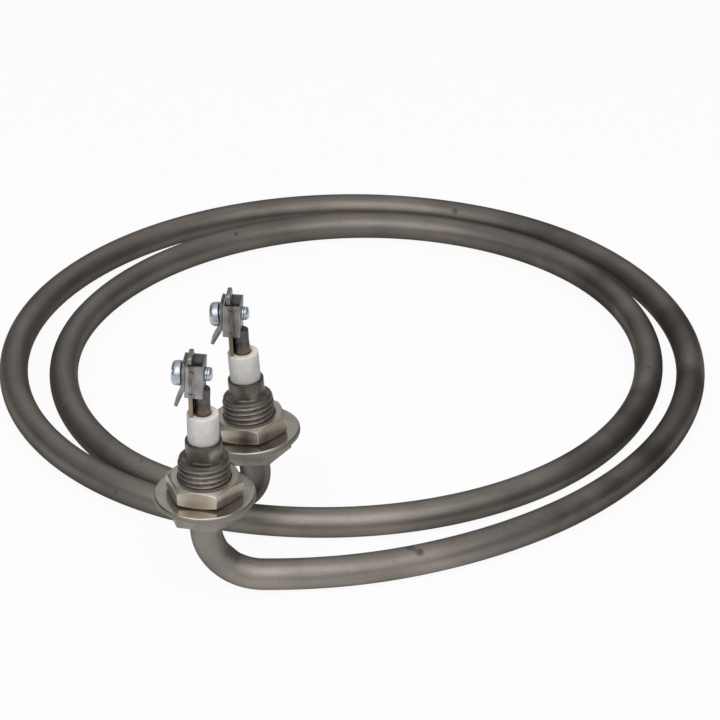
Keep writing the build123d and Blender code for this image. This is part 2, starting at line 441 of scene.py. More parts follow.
def hexagon_angles(turn, fine, coarse=14, near_corner=4):
    """Directions round a hexagon in degrees, close together at its corners."""
    out = []
    for side in range(6):
        corner = turn + 60 * side
        out += [corner - near_corner + 2 * near_corner * k / fine for k in range(fine)]
        out += [corner + near_corner + (60 - 2 * near_corner) * k / coarse for k in range(coarse)]
    return np.array(out)


def skin_to(obj, slot, *nodes):
    """The piece rides on the part's one body and stands for the nodes."""
    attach(obj, "root")
    if nodes:
        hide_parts(*nodes)
    return obj


# Sheath tube: rings along the route, with its length and its way round kept for the material
route = tube_route() + shift
steps = norm(np.diff(route, axis=0), axis=1)
route = route[np.concatenate([[True], steps > 1e-4])]
travelled = lengths_along(route)
tangents = np.gradient(route, travelled, axis=0)
tangents /= norm(tangents, axis=1)[:, None]
side = np.cross(tangents[0], np.array([0.0, 1.0, 0.0]))
bulge_place = on_bend("front", 45) + shift
bend_centre = FOOT["front"] + (INWARD["front"] + UP) * bend_radius["front"] + shift
tube_vertices = []
skin_values = []
for p, t, s in zip(route, tangents, travelled):
    side = side - t * (side @ t)
    side /= norm(side)
    up = np.cross(t, side)
    off_bulge = norm(p - bulge_place) / bulge_length
    to_centre = bend_centre - p
    to_centre = to_centre - t * (to_centre @ t)
    to_centre /= max(norm(to_centre), 1e-6)
    bulge = exp(-(off_bulge**2))
    dent = dent_share * exp(-((off_bulge - dent_offset) ** 2) * 2)
    for k in all_round(tube_columns):
        n = side * cos(k) + up * sin(k)
        facing = max(0.0, float(n @ to_centre))
        reach = tube_radius + bulge_height * (bulge - dent) * facing**4
        tube_vertices.append((p + n * reach) * MM)
        skin_values.append(np.array((s, tube_radius * cos(k), tube_radius * sin(k))) * MM)
tube_faces = grid_faces(len(route), tube_columns, capped=True)
tube = new_object("sheath", tube_vertices, tube_faces, 50)
add_values(tube, "skin", skin_values)
skin_to(tube, "sheath", "sheath_tube")


# Turned and hexagonal pieces of one terminal
def thread_radius(angle, z, top):
    """Reach of a rounded screw thread that fades out at its top."""
    phase = (z / thread_pitch - angle / (2 * pi)) % 1.0
    u = abs(phase - 0.5) * 2
    shape = min(1.0, max(0.0, (u - thread_root_share) / thread_flank_share))
    soft = shape * shape * (3 - 2 * shape)
    shape = soft * thread_softness + shape * (1 - thread_softness)
    r = thread_diameter / 2 - thread_depth * (1 - shape)
    fade_top = max(0.0, min(1.0, (z - (top - thread_fade)) / thread_fade))
    return r * (1 - fade_top) + (collar_diameter / 2 - 0.02) * fade_top


def build_flange(which):
    turn = flange_turn[which]
    angles = hexagon_angles(turn, 10)
    e, bottom = flange_edge, -flange_thickness
    profiles = []
    for degrees in angles:
        r = hexagon_radius(degrees, flange_across_flats, turn, flange_corner) - e
        low_edge = [(r + e * sin(q), bottom + e - e * cos(q)) for q in quarter(3)]
        high_edge = [(r + e * cos(q), -e + e * sin(q)) for q in quarter(3)]
        inside = (thread_diameter / 2 - thread_inset, 0.0)
        profiles.append([(tube_radius + tube_clearance, bottom), *low_edge, *high_edge, inside])
    rows = list(zip(*profiles))
    return turned(which + "_flange", rows, np.radians(angles), SEATS[which], 35)


def build_stem(which):
    """Thread, collar, crimp and neck of a fitting."""
    around = all_round(stem_columns)
    rows = []

    def add_row(z, radii):
        rows.append([(r, z) for r in np.broadcast_to(radii, stem_columns)])

    crests_end = thread_length + thread_over_collar
    for z in np.arange(0.0, crests_end + 0.01, thread_row_step):
        add_row(z, [thread_radius(a, z, crests_end) for a in around])
    collar_r = collar_diameter / 2
    add_row(crests_end + 0.06, collar_r - 0.06)
    add_row(crests_end + 0.16, collar_r - 0.2)
    add_row(neck_bottom - 0.12, collar_r - 0.55)
    add_row(neck_bottom - 0.02, collar_r - 0.8)
    neck_r = neck_diameter / 2
    crimp = np.array([
        min(neck_r, hexagon_radius(a, crimp_across_flats, flange_turn[which], crimp_corner) + 0.05)
        for a in np.degrees(around)
    ])
    fillet_top = neck_bottom + neck_fillet
    for q in quarter(5):
        add_row(fillet_top - neck_fillet * cos(q), crimp + neck_fillet * (1 - sin(q)))
    for u in np.linspace(0.05, 1, 14):
        ease = u * u * (3 - 2 * u)
        add_row(fillet_top + (crimp_height - 0.4) * u, crimp + (neck_r - crimp) * ease)
    edge_bottom = neck_top - neck_edge
    for z in np.linspace(neck_bottom + crimp_height + 0.4, edge_bottom, 6):
        add_row(z, neck_r)
    for q in quarter(4)[1:]:
        add_row(edge_bottom + neck_edge * sin(q), neck_r - neck_edge * (1 - cos(q)))
    mouth_r = bush_diameter / 2 + mouth_gap
    add_row(neck_top, mouth_r + mouth_chamfer)
    add_row(neck_top - mouth_chamfer, mouth_r)
    add_row(neck_top - mouth_depth, mouth_r)
    stem = turned(which + "_stem", rows, around, SEATS[which], 32)
    reach, z = np.array(rows).reshape(-1, 2).T
    # How far up the thread each point is, which the material uses for a painted highlight on the
    # crests and painted shade in the roots
    crest = (reach - thread_diameter / 2 + thread_depth) / thread_depth
    add_values(stem, "crest", np.clip(np.where(z <= crests_end, crest, 0.5), 0, 1))
    return stem


def build_nut(which):
    turn = nut_turn[which]
    bottom = washer_thickness
    top = bottom + nut_height
    slope = tan(radians(nut_chamfer_angle))
    flat = nut_chamfer_diameter / 2
    hole = thread_diameter / 2 - nut_thread_bite
    profiles = []
    angles = hexagon_angles(turn, 12)
    for degrees in angles:
        r = hexagon_radius(degrees, nut_across_flats, turn, nut_corner)
        drop = max(0.0, (r - flat)) * slope
        outer = min(flat, r - 0.02)
        profiles.append(rounded([
            (hole, bottom + nut_thread_chamfer), (hole + nut_thread_chamfer, bottom),
            (outer - 0.3, bottom, 0.1),
            (r, bottom + 0.6 * drop + 0.24, 0.08), (r, top - drop - 0.02, 0.22),
            (outer, top, 0.12), (hole + 0.35, top, 0.1), (hole, top - 0.4),
        ], 3))
    rows = np.array(profiles).transpose(1, 0, 2)
    obj = turned(which + "_hex_nut", rows, np.radians(angles), SEATS[which], 40)
    # How far each point lies beyond the flats, for a painted highlight at the corners
    past_flats = rows[..., 0].ravel() - nut_across_flats / 2
    add_values(obj, "corner_highlight", np.clip((past_flats - 0.25) / 0.9, 0, 1))
    return obj


def build_washer(which):
    e, r, t = washer_edge, washer_diameter / 2, washer_thickness
    hole = thread_diameter / 2 + 0.3
    profile = rounded([
        (hole, 0.5), (hole + 0.15, 0.0, 0.1), (r - e, 0.0, 0.3), (r, e, 0.35), (r, t - e, 0.35),
        (r - e, t, 0.3), (hole + 0.15, t, 0.1), (hole, t - 0.2), (hole, 0.5),
    ], 4)
    return lathe(which + "_flat_washer", profile, SEATS[which], 192, 40)


def build_bush(which):
    r = bush_diameter / 2
    hole = pin_diameter / 2 + 0.1
    profile = rounded([
        (r - 0.2, tube_end), (r, tube_end + 0.2), (r, bush_top, 0.38), (hole, bush_top, 0.22),
        (hole, bush_top - 3.0), (hole, tube_end),
    ], 5)
    return lathe(which + "_bush", profile, SEATS[which], 128, 50)


def dress(node, width, weld_mm=0.002, flat_below=0.7, sharp_above=28):
    """A copy of a CAD node's shape with its sharp edges broken."""
    bm = bmesh.new()
    bm.from_mesh(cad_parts[node].data)
    bmesh.ops.remove_doubles(bm, verts=bm.verts, dist=weld_mm * MM)
    flat, sharp = radians(flat_below), radians(sharp_above)
    bmesh.ops.dissolve_limit(bm, angle_limit=flat, verts=bm.verts, edges=bm.edges)
    sharp = [e for e in bm.edges if e.is_manifold and e.calc_face_angle(0) > sharp]
    bmesh.ops.bevel(bm, geom=sharp, offset=width * MM, offset_type="OFFSET", segments=2,
                    profile=0.5, affect="EDGES", clamp_overlap=True)
    bmesh.ops.triangulate(bm, faces=[f for f in bm.faces if len(f.verts) > 4])
    mesh = bpy.data.meshes.new(node + "_dressed")
    bm.to_mesh(mesh)
    bm.free()
    shade(mesh, 32)
    return link(node + "_dressed", mesh)


def cut_by_boxes(obj, boxes, edge_width):
    """Takes boxes, sized in millimetres, out of a piece and breaks its sharp edges."""
    bm = bmesh.new()
    for matrix, size in boxes:
        scale = Matrix.Diagonal((*[length * MM for length in size], 1))
        bmesh.ops.create_cube(bm, size=1.0, matrix=matrix @ scale)
    mesh = bpy.data.meshes.new("cutter")
    bm.to_mesh(mesh)
    bm.free()
    cutter = link("cutter", mesh)
    boolean = obj.modifiers.new("slot", "BOOLEAN")
    boolean.operation = "DIFFERENCE"
    boolean.solver = "EXACT"
    boolean.object = cutter
    edges = obj.modifiers.new("edges", "BEVEL")
    edges.width = edge_width * MM
    edges.segments = 2
    edges.limit_method = "ANGLE"
    edges.angle_limit = radians(50)
    shape = obj.evaluated_get(bpy.context.evaluated_depsgraph_get())
    mesh = bpy.data.meshes.new_from_object(shape)
    shade(mesh, 35)
    obj.modifiers.clear()
    obj.data = mesh
    bpy.data.objects.remove(cutter)


def spin(degrees, axis):
    return Matrix.Rotation(radians(degrees), 4, axis)


def move(x, y, z):
    return Matrix.Translation((x * MM, y * MM, z * MM))


def clamp_matrix(which):
    """The clamp's own frame: turned about the seat's axis, at the height of the screw."""
    return SEATS[which] @ spin(clamp_turn, "Z") @ move(0, 0, screw_axis)


def build_screw(which):
    """Pan-head screw lying across the clamp, with a slot and a rolled thread on its stub."""
    m = clamp_matrix(which) @ spin(90, "Y")
    r, stub = screw_head_diameter / 2, screw_diameter / 2
    left = head_right - screw_head_height
    head = rounded([
        (0.01, left), (0.8, left), (r - 0.1, left + 0.12, 1.5), (r, head_right, 0.45),
        (stub, head_right), (stub, head_right + 0.4),
    ], 9)
    around = all_round(96)
    rows = [[(x, z)] * len(around) for x, z in head]
    length = screw_end - head_right
    for z in np.arange(0.45, length - 0.1, screw_pitch / 12):
        row = []
        for a in around:
            phase = (z / screw_pitch + a / (2 * pi)) % 1.0
            depth = screw_thread_depth * (1 - abs(phase - 0.5) * 2) ** 1.2
            fade = min(1.0, (length - z) / 0.5)
            row.append((stub - depth * fade - 0.35 * (1 - fade), head_right + z))
        rows.append(row)
    rows += [[(x, screw_end)] * len(around) for x in (stub - 0.45, 0.01)]
    obj = turned(which + "_screw", rows, around, m, 40, capped=True)
    slot = m @ spin(screw_slot_turn[which], "Z") @ move(0, 0, left - 1 + screw_slot_depth / 2)
    cut_by_boxes(obj, [(slot, (screw_slot_width, 9, screw_slot_depth + 2))], screw_edge)
    return obj


def build_pin(which):
    """The pin, with a broken top edge and a slight unevenness from forging."""
    m = SEATS[which]
    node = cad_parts[which + "_terminal_pin"]
    heights = [(m.inverted() @ v.co).z / MM for v in node.data.vertices]
    low, top = min(heights), max(heights)
    r, e = pin_diameter / 2, pin_edge
    profile = [(0.01, low), (r - 0.1, low), (r, low + 0.1)]
    profile += [(r, z) for z in np.linspace(bush_top - 1.0, top - e - 0.2, 24)]
    profile += [(r - e + e * cos(q), top - e + e * sin(q)) for q in quarter(8)]
    profile.append((0.01, top))

    def uneven(a, radius, z):
        if z < bush_top or radius < 1:
            return 0.0
        return 0.035 * sin(2 * a + 0.8 * z) + 0.025 * sin(3 * a - 1.3 * z)

    return lathe(which + "_pin", profile, m, 96, 45, uneven)


def build_cage(which):
    """Folded sheet cage, open at top and bottom, with a notch at its foot and two slots."""
    m = clamp_matrix(which) @ spin(cage_lean[which], "Y")
    half_x, half_y = cage_width / 2, cage_depth / 2
    right = cage_left + cage_width

    def outline(inset):
        points = []
        radius = max(0.12, cage_corner - inset)
        for corner, (sx, sy) in enumerate(((1, 1), (-1, 1), (-1, -1), (1, -1))):
            for q in quarter(6):
                q += radians(90 * corner)
                points.append((
                    cage_left + half_x + sx * (half_x - inset - radius) + radius * cos(q),
                    sy * (half_y - inset - radius) + radius * sin(q),
                ))
        return points

    outer, inner = outline(0.0), outline(cage_wall)
    foot, top = -cage_below_screw, cage_height - cage_below_screw
    rows = [[(x, y, z) for x, y in outer] for z in np.linspace(foot, top, 15)]
    rows += [[(x, y, z) for x, y in inner] for z in np.linspace(top, foot, 3)]
    count = len(outer)
    vertices = [m @ (Vector(v) * MM) for row in rows for v in row]
    faces = grid_faces(len(rows), count)
    last = (len(rows) - 1) * count
    faces += [(last + c, last + (c + 1) % count, (c + 1) % count, c) for c in range(count)]
    obj = new_object(which + "_sheet_cage", vertices, faces, 40)
    notch = cage_notch_height[which]
    place = m @ move(right, 0, foot + notch / 2 - 0.5)
    boxes = [(place, (1.6, cage_notch_width, notch + 1))]
    seam_shift = rear_seam_shift if which == "rear" else 0.0
    for x, z, tilt, width, tall in cage_slots:
        place = m @ move(cage_left + x + seam_shift, -half_y, top - z) @ spin(tilt, "Y")
        boxes.append((place, (width, 2 * cage_slot_depth, tall)))
    cut_by_boxes(obj, boxes, cage_edge)
    return obj


def raise_top(obj, which, above, by):
    """Moves what is above a height over the seat upwards, in millimetres."""
    to_seat = SEATS[which].inverted()
    for v in obj.data.vertices:
        local = to_seat @ v.co
        if local.z > above * MM:
            local.z += by * MM
            v.co = SEATS[which] @ local


def place_again(obj, which, change):
    """Moves a piece by a change that is given in its seat's frame."""
    obj.data.transform(SEATS[which] @ change @ SEATS[which].inverted())


def lean_at(height, degrees):
    """A lean to the right about a point of the seat's axis."""
    return move(0, 0, height) @ spin(degrees, "Y") @ move(0, 0, -height)


def build_tab(which):
    tab = dress(which + "_tab", tab_edge)
    place_again(tab, which, lean_at(bush_top, tab_lean[which]))
    return tab


def build_plate(which):
    """The clamp plate, which leans with its cage."""
    plate = dress(which + "_clamp_plate", plate_edge)
    raise_top(plate, which, screw_axis + plate_raised_above_screw, plate_raise)
    lean = lean_at(screw_axis, cage_lean[which])
    place_again(plate, which, lean @ move(plate_shift, 0, 0))
    return plate


# Pieces of each terminal: the function, the record's slot and the CAD node that it stands for.
# Every piece keeps its place on its own seat, for the materials.
pieces = {}
for which in ("front", "rear"):
    back_to_seat = SEATS[which].inverted()
    for kind, build, slot, *nodes in (
        ("flange", build_flange, "fitting"),
        ("stem", build_stem, "fitting", "_fitting"),
        ("nut", build_nut, "nut", "_nut"),
        ("washer", build_washer, "washer", "_washer"),
        ("bush", build_bush, "ceramic", "_ceramic_bush"),
        ("tab", build_tab, "tab", "_tab"),
        ("plate", build_plate, "plate", "_clamp_plate"),
        ("pin", build_pin, "pin", "_terminal_pin"),
        ("cage", build_cage, "cage", "_cage"),
        ("screw", build_screw, "screw", "_clamp_screw"),
    ):
        piece = skin_to(build(which), slot, *[which + node for node in nodes])
        add_values(piece, "seat_place", [back_to_seat @ v.co for v in piece.data.vertices])
        pieces[which + "_" + kind] = piece


# Materials. Colours are sRGB values of 0 to 255.
def linear(red, green, blue):
    """An sRGB colour as the linear values that Blender takes."""
    out = []
    for c in (red, green, blue):
        c /= 255
        out.append(c / 12.92 if c <= 0.04045 else ((c + 0.055) / 1.055) ** 2.4)
    return (*out, 1.0)


def grey(v):
    return (v, v, v, 1.0)


class Paint:
    """A node material in the making."""

    def __init__(self, name, metallic, roughness):
        self.material = bpy.data.materials.new(name)
        self.material.use_nodes = True
        self.nodes = self.material.node_tree.nodes
        self.links = self.material.node_tree.links
        self.shader = self.nodes.get("Principled BSDF")
        self.set("Metallic", metallic)
        self.set("Roughness", roughness)
        self.place = self.pattern = self.node("TexCoord").outputs["Object"]
        self.normal = None

    @classmethod
    def on_tree(cls, tree):
        paint = cls.__new__(cls)
        paint.nodes = tree.nodes
        paint.links = tree.links
        return paint

    def on(self, *objects):
        for obj in objects:
            obj.data.materials.clear()
            obj.data.materials.append(self.material)

    def put(self, socket, value):
        if isinstance(value, bpy.types.NodeSocket):
            self.links.new(value, socket)
        else:
            socket.default_value = value

    def set(self, name, value):
        """A value or a link for one of the shader's own sockets."""
        self.put(self.shader.inputs[name], value)

    def node(self, kind, **inputs):
        """A new node, with values or links on its inputs."""
        node = self.nodes.new("ShaderNode" + kind)
        for name, value in inputs.items():
            self.put(node.inputs[name.replace("_", " ")], value)
        return node

    def math(self, operation, a, b=0.0, c=0.0):
        node = self.node("Math")
        node.operation = operation
        for socket, value in zip(node.inputs, (a, b, c)):
            self.put(socket, value)
        return node.outputs[0]

    def product(self, value, *others):
        for other in others:
            value = self.math("MULTIPLY", value, other)
        return value

    def distance(self, a, b):
        node = self.node("VectorMath")
        node.operation = "DISTANCE"
        self.put(node.inputs[0], a)
        self.put(node.inputs[1], b)
        return node.outputs["Value"]

    def split(self, vector):
        return self.node("SeparateXYZ", Vector=vector).outputs

    def own(self, name, output="Vector"):
        node = self.node("Attribute")
        node.attribute_name = name
        return node.outputs[output]

    def stretched(self, scale):
        return self.node("Mapping", Vector=self.pattern, Scale=scale).outputs["Vector"]

    def from_axis(self):
        """Distance from the seat's axis."""
        return self.distance(self.stretched((1, 1, 0)), (0, 0, 0))

    def noise(self, scale, detail, vector=None, roughness=0.55):
        node = self.node("TexNoise", Vector=vector or self.pattern, Scale=scale, Detail=detail,
                         Roughness=roughness)
        return node.outputs["Fac"]

    def streaks(self, scale, detail):
        """Noise with its own scale along each axis."""
        return self.noise(1.0, detail, self.stretched(scale))

    def pits(self, scale):
        return self.node("TexVoronoi", Vector=self.pattern, Scale=scale).outputs["Distance"]

    def between(self, value, low, high):
        """0 at low and 1 at high, smooth in between."""
        node = self.node("MapRange", Value=value, From_Min=low, From_Max=high)
        node.interpolation_type = "SMOOTHSTEP"
        return node.outputs["Result"]

    def between_mm(self, value, low, high):
        return self.between(value, low * MM, high * MM)

    def ramp(self, value, *stops):
        node = self.node("ValToRGB", Fac=value)
        elements = node.color_ramp.elements
        while len(elements) > 1:
            elements.remove(elements[-1])
        elements[0].position, elements[0].color = stops[0]
        for position, colour in stops[1:]:
            elements.new(position).color = colour
        return node.outputs["Color"]

    def greys(self, value, *stops):
        return self.ramp(value, *[(position, grey(v)) for position, v in stops])

    def tones(self, value, *stops):
        return self.ramp(value, *[(position, linear(*rgb)) for position, *rgb in stops])

    def mix(self, share, a, b, blend="MIX"):
        node = self.node("Mix")
        node.data_type = "RGBA"
        node.blend_type = blend
        self.put(node.inputs[0], share)
        self.put(node.inputs[6], a)
        self.put(node.inputs[7], b)
        return node.outputs[2]

    def multiply(self, a, b):
        return self.mix(1.0, a, b, "MULTIPLY")

    def times(self, colour, value, *stops):
        """The colour multiplied by a ramp of greys over the value."""
        return self.multiply(colour, self.greys(value, *stops))

    def tint(self, body, mask, share, rgb):
        """The body with up to this share of a colour, where the mask says."""
        return self.mix(self.product(mask, share), body, linear(*rgb))

    def spot(self, centre, reach, wobble):
        """1 at the centre and 0 beyond the reach, in millimetres, with a ragged edge."""
        far = self.distance(self.place, tuple(c * MM for c in centre))
        far = self.product(far, self.math("ADD", wobble, 0.5))
        return self.between_mm(far, reach, reach * 0.35)

    def colour(self, value):
        self.set("Base Color", value)

    def rough(self, value, low, high):
        self.set("Roughness", self.greys(value, (0.3, low), (0.7, high)))

    def bump(self, height, distance, strength):
        """Relief of this depth in millimetres, over any relief already there."""
        node = self.node("Bump", Strength=strength, Distance=distance * MM, Height=height)
        if self.normal is not None:
            self.put(node.inputs["Normal"], self.normal)
        self.normal = node.outputs["Normal"]
        self.set("Normal", self.normal)

    def facing(self):
        """The surface's direction, as a unit vector."""
        return self.node("NewGeometry").outputs["Normal"]

    def upward(self):
        """The surface's direction from 0, straight down, to 1, straight up."""
        return self.math("MULTIPLY_ADD", self.split(self.facing())["Z"], 0.5, 0.5)


def seat_paint(kind, name, metallic, roughness):
    """A material on both pieces of a kind, with patterns by the place on their seats."""
    paint = Paint(name, metallic, roughness)
    paint.pattern = paint.own("seat_place")
    paint.on(pieces["front_" + kind], pieces["rear_" + kind])
    return paint


# Sheath: annealed stainless tube, with drawing lines, oxide clouds and a few marks.
# Each mark is its place and reach in millimetres and how dark it is.
sheath_marks = [
    ((33.75, 103.45, 7.21), 1.5, 0.5), ((-37.71, 85.92, 7.86), 1.0, 0.55),
    ((-59.36, -52.95, 8.42), 1.0, 0.35), ((-65.7, -64.46, 5.43), 1.1, 0.3),
    ((15.9, -97.0, 8.3), 1.7, 0.5), ((18.6, -98.3, 8.05), 1.6, 0.6),
    ((17.0, -97.6, 8.3), 1.0, 0.5), ((88.3, -0.5, 8.5), 1.0, 0.35),
    ((-29.4, -100.7, 9.4), 0.9, 0.25), ((59.1, -73.3, 7.5), 13.0, 0.22),
    ((71.0, -66.0, 6.0), 9.0, 0.3), ((67.8, -48.2, 6.0), 12.0, 0.22),
    ((86.0, -48.0, 5.0), 10.0, 0.35), ((81.1, -30.8, 6.0), 9.0, 0.25),
]
paint = Paint("sheath_metal", 0.92, 0.5)
paint.pattern = paint.own("skin")
lines = paint.streaks((45, 1100, 1100), 5)
grain = paint.noise(2600, 3, roughness=0.6)
body = paint.tones(paint.noise(48, 5, paint.place), (0.28, 127, 122, 116),
                   (0.5, 143, 137, 131), (0.72, 153, 146, 139))
body = paint.times(body, lines, (0.3, 0.92), (0.5, 1.0), (0.72, 1.05))
body = paint.times(body, grain, (0.34, 0.9), (0.5, 1.0), (0.66, 1.06))

# Shade of the photograph: undersides, the tube behind the terminals, the flanks, back and front
upward = paint.upward()
body = paint.times(body, upward, (0.0, 0.8), (0.35, 0.92), (0.5, 1.0))
x, y, z = paint.split(paint.place)
on_coil = paint.between_mm(z, 18, 9)
behind = paint.product(paint.between_mm(y, -98, -70), on_coil)
shaded = paint.times(body, upward, (0.0, 0.58), (0.4, 0.62), (0.54, 0.76), (0.7, 1.0))
body = paint.mix(behind, body, shaded)
flank = paint.between_mm(paint.math("ABSOLUTE", x), 35, 75)
shaded = paint.times(body, upward, (0.0, 0.95), (0.42, 0.84), (0.56, 0.78), (0.64, 0.88),
                     (0.74, 1.0))
body = paint.mix(paint.product(flank, on_coil), body, shaded)
body = paint.times(body, paint.between_mm(y, -85, -105), (0.0, 1.0), (1.0, 1.15))
body = paint.times(body, paint.between_mm(y, 0, 80), (0.0, 1.0), (1.0, 0.88))

# Soot, most of it on the right, where it is also painted shade that darkens the right of the ring;
# then the marks and fine specks
soot_and_shade_on_right = paint.between_mm(x, 20, 75)
soot_and_shade = paint.product(paint.between(paint.noise(30, 3, paint.place), 0.42, 0.62),
                     paint.math("MULTIPLY_ADD", soot_and_shade_on_right, 0.33, 0.1))
body = paint.mix(soot_and_shade, body, linear(50, 52, 54))
wobble = paint.noise(700, 3, paint.place)
dark = 0.0
for centre, reach, depth in sheath_marks:
    dark = paint.math("MAXIMUM", dark, paint.product(paint.spot(centre, reach, wobble), depth))
body = paint.mix(dark, body, linear(52, 47, 44))
body = paint.tint(body, paint.between(paint.pits(420), 0.09, 0.03), 0.35, (60, 52, 48))
paint.colour(body)
paint.rough(paint.noise(160, 4, paint.stretched((0.25, 1, 1))), 0.44, 0.56)
paint.set("Specular Tint", (0.3, 0.28, 0.27, 1))
paint.set("Specular IOR Level", 0.25)
paint.bump(lines, 0.02, 0.4)
paint.bump(grain, 0.02, 0.6)
paint.on(tube)

# Fittings: turned steel, olive-dark where the crimp was brazed, with a painted highlight on the
# thread's crests, painted shade in its roots and a painted highlight on the front neck
front_neck_stain = (-39.2, -107.7, 42.7)
front_neck_highlight = (-35.3, -106.4, 43.9)
paint = seat_paint("stem", "fitting_metal", 0.85, 0.45)
along_axis = paint.split(paint.pattern)["Z"]
clouds = paint.noise(420, 5)
turning = paint.streaks((350, 350, 9000), 3)
body = paint.tones(clouds, (0.3, 102, 97, 91), (0.5, 124, 118, 111), (0.7, 142, 135, 128))
body = paint.times(body, turning, (0.3, 0.85), (0.7, 1.1))
crest = paint.own("crest", "Fac")
# Painted highlight on the thread's crests and painted shade in its roots
body = paint.tint(body, paint.between(crest, 0.5, 1.0), 0.35, (160, 153, 144))
body = paint.times(body, crest, (0.0, 0.7), (0.35, 0.9), (1.0, 1.0))
on_neck = paint.between_mm(along_axis, neck_bottom - 0.9, neck_bottom + 0.3)
braze = paint.tones(paint.noise(230, 4), (0.38, 70, 69, 58), (0.5, 96, 93, 86),
                    (0.66, 124, 120, 114))
body = paint.mix(paint.product(on_neck, 0.75), body, braze)
wobble = paint.noise(420, 3, paint.place)
body = paint.tint(body, paint.spot(front_neck_stain, 5.0, wobble), 0.8, (70, 69, 56))
# Painted highlight on the front neck
body = paint.tint(body, paint.spot(front_neck_highlight, 2.4, wobble), 0.8, (150, 146, 140))
top_rim = paint.between_mm(along_axis, neck_top - 0.8, neck_top - 0.2)
body = paint.tint(body, top_rim, 0.6, (70, 67, 62))
paint.colour(body)
paint.rough(clouds, 0.5, 0.38)
paint.bump(turning, 0.02, 0.5)
paint.bump(paint.noise(2400, 3), 0.015, 0.6)

# Hexagon flanges: bare turned steel, lighter than the stem
paint = seat_paint("flange", "flange_metal", 0.9, 0.45)
body = paint.tones(paint.noise(260, 5), (0.3, 126, 121, 114), (0.5, 146, 141, 134),
                   (0.7, 160, 154, 146))
body = paint.times(body, paint.streaks((900, 900, 3500), 3), (0.3, 0.9), (0.7, 1.06))
paint.colour(body)
paint.rough(paint.noise(500, 4), 0.38, 0.55)
paint.bump(paint.streaks((700, 700, 4000), 3), 0.02, 0.5)

# Washers: bright zinc-nickel with faint turning rings and fingermarks
paint = seat_paint("washer", "washer_metal", 0.9, 0.18)
far = paint.from_axis()
rings = paint.math("SINE", paint.product(far, 16000))
body = paint.tones(paint.noise(170, 5), (0.3, 160, 155, 146), (0.5, 177, 172, 164),
                   (0.7, 188, 184, 177))
body = paint.times(body, paint.noise(1500, 3), (0.3, 0.97), (0.7, 1.02))
rim = paint.between_mm(far, washer_diameter / 2 - 0.4, washer_diameter / 2 - 0.12)
paint.colour(paint.tint(body, rim, 0.9, (136, 132, 126)))
polish = paint.math("MULTIPLY_ADD", paint.noise(260, 5), 0.14, 0.1)
paint.set("Roughness", paint.math("MULTIPLY_ADD", rim, 0.42, polish))
paint.bump(rings, 0.002, 0.4)
paint.bump(paint.noise(400, 3), 0.002, 0.3)

# Nuts: warm nickel, with painted light on their upper faces, a painted highlight at the corners
# and a dark brown patch on the rear one
rear_nut_dark_patch = (-27.3, -78.1, 29.1)
paint = seat_paint("nut", "nut_metal", 0.78, 0.3)
body = paint.tones(paint.noise(110, 2), (0.3, 154, 143, 128), (0.5, 165, 154, 140),
                   (0.7, 175, 165, 152))
body = paint.times(body, paint.noise(1300, 3), (0.3, 0.97), (0.7, 1.02))
# Painted light: the upper faces are lighter
body = paint.tint(body, paint.between(paint.upward(), 0.9, 0.985), 0.9, (186, 184, 174))
# A dark brown patch on the rear nut's front
rear_dark_patch = paint.spot(rear_nut_dark_patch, 6.5, paint.noise(300, 3, paint.place))
body = paint.tint(body, rear_dark_patch, 0.85, (76, 64, 54))
# Painted highlight at the corners
paint.colour(paint.tint(body, paint.own("corner_highlight", "Fac"), 0.55, (206, 198, 186)))
paint.rough(paint.noise(240, 4), 0.24, 0.36)
paint.bump(paint.streaks((250, 250, 900), 3), 0.002, 0.4)

# Ceramic bushes: white steatite with pores and grime, darker low down, and a brown tint round the
# pin
paint = seat_paint("bush", "ceramic_white", 0.0, 0.55)
along_axis = paint.split(paint.pattern)["Z"]
body = paint.tones(paint.noise(300, 5), (0.3, 232, 230, 226), (0.6, 243, 242, 240))
grime = paint.between(paint.noise(520, 5), 0.56, 0.74)
body = paint.tint(body, grime, 0.4, (176, 168, 156))
# Darker low down, next to the neck
low_down = paint.between_mm(along_axis, neck_top + 1.3, neck_top - 0.2)
body = paint.tint(body, low_down, 0.3, (150, 144, 134))
round_pin = paint.product(paint.between_mm(paint.from_axis(), 3.0, 2.2),
                          paint.between_mm(along_axis, bush_top - 0.6, bush_top - 0.1))
body = paint.tint(body, round_pin, 0.7, (120, 88, 66))
specks = paint.between(paint.pits(560), 0.13, 0.05)
paint.colour(paint.tint(body, specks, 0.45, (150, 142, 130)))
paint.rough(paint.noise(700, 4), 0.45, 0.7)
paint.bump(paint.noise(1500, 4), 0.03, 0.5)
paint.bump(specks, 0.05, -0.6)

# Pins: dark oxidised steel with a straw and brown heat tint near the ceramic
paint = seat_paint("pin", "pin_metal", 0.9, 0.42)
body = paint.tones(paint.noise(500, 5), (0.3, 74, 72, 74), (0.7, 108, 105, 106))
body = paint.times(body, paint.streaks((2600, 2600, 300), 3), (0.3, 0.85), (0.7, 1.1))
hot = paint.between_mm(paint.split(paint.pattern)["Z"], bush_top + 2.6, bush_top)
paint.colour(paint.tint(body, hot, 0.65, (158, 130, 104)))
paint.rough(paint.noise(600, 4), 0.34, 0.55)
paint.bump(paint.noise(1800, 4), 0.03, 0.5)


